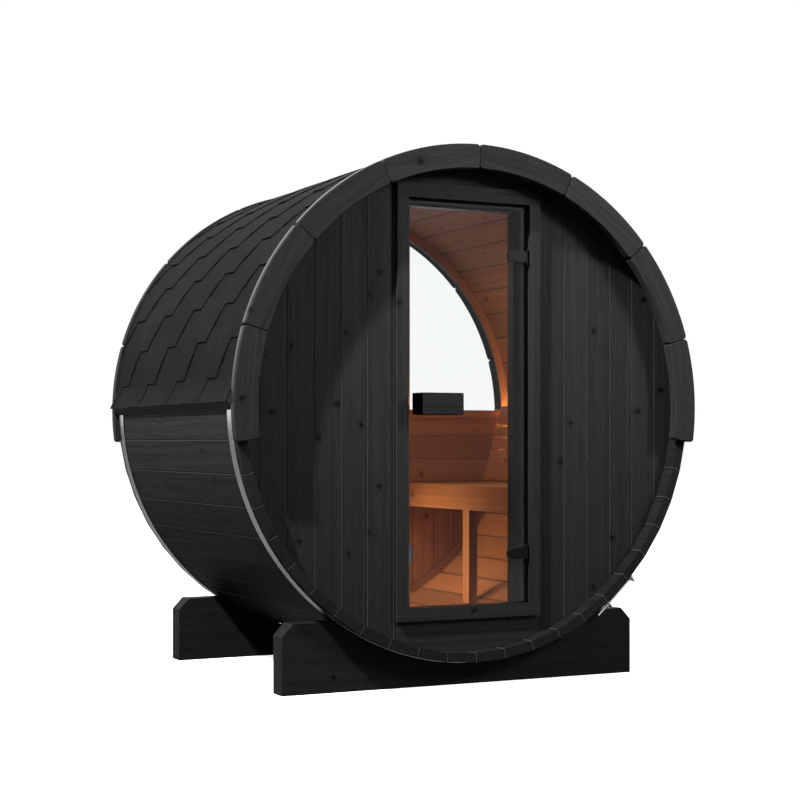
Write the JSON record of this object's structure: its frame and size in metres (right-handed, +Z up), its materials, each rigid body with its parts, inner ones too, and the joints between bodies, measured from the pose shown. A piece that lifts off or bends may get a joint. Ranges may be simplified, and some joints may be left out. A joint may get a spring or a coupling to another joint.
{
  "type": "barrel sauna",
  "caption": "Barrel sauna of dark stained staves on two cradles, with a hinged glass door, shingled upper half, a half-round rear window and a bench inside.",
  "frame": {"origin": "on the ground under the middle of the barrel", "axes": "+Z up, +Y from the door towards the rear window, +X to the right seen from the front"},
  "size_m": [2.0984, 1.544, 2.1354],
  "materials": {
    "stained_timber": "dark stained softwood, satin",
    "handle_timber": "dark stained block",
    "bench_timber": "warm clear softwood",
    "roof_shingle": "mineral granule shingle",
    "steel_band": "bright strip",
    "hinge_metal": "satin steel",
    "black_metal": "satin black",
    "door_glass": "clear",
    "window_glass": "clear",
    "light_strip": "glowing diffuser"
  },
  "bodies": {
    "root": {"backrest_slats": "bench_timber", "backrest_supports": "bench_timber", "bench_apron": "bench_timber", "bench_battens": "bench_timber", "bench_post": "bench_timber", "bench_seat": "bench_timber", "door_head": "stained_timber", "door_jamb_left": "stained_timber", "door_jamb_right": "stained_timber", "door_latch_plate": "black_metal", "door_sill": "stained_timber", "eave_lath_left": "stained_timber", "eave_lath_right": "stained_timber", "front_band": "steel_band", "front_band_rod": "steel_band", "front_cradle": "stained_timber", "front_trim": "stained_timber", "front_wall_base": "stained_timber", "front_wall_header": "stained_timber", "front_wall_left": "stained_timber", "front_wall_right": "stained_timber", "hinge_brackets": "hinge_metal", "light_strip": "light_strip", "rear_band": "steel_band", "rear_band_rod": "steel_band", "rear_cradle": "stained_timber", "rear_ring_lower": "stained_timber", "rear_ring_upper": "stained_timber", "rear_trim": "stained_timber", "rear_wall_boards": "stained_timber", "roof_left": "roof_shingle", "roof_right": "roof_shingle", "staves_1": "stained_timber", "staves_2": "stained_timber", "staves_3": "stained_timber", "staves_4": "stained_timber", "staves_5": "stained_timber", "staves_6": "stained_timber", "staves_7": "stained_timber", "staves_8": "stained_timber", "window_glass": "window_glass", "window_rail": "stained_timber"},
    "door": {"door_glass": "door_glass", "door_handle": "handle_timber", "hinge_clamps": "hinge_metal"}
  },
  "joints": [
    {"name": "door_hinge", "type": "hinge", "parent": "root", "child": "door", "pos_m": [0.262, -0.685, 0], "axis": [0, 0, 1], "range_deg": [0, 110]}
  ]
}
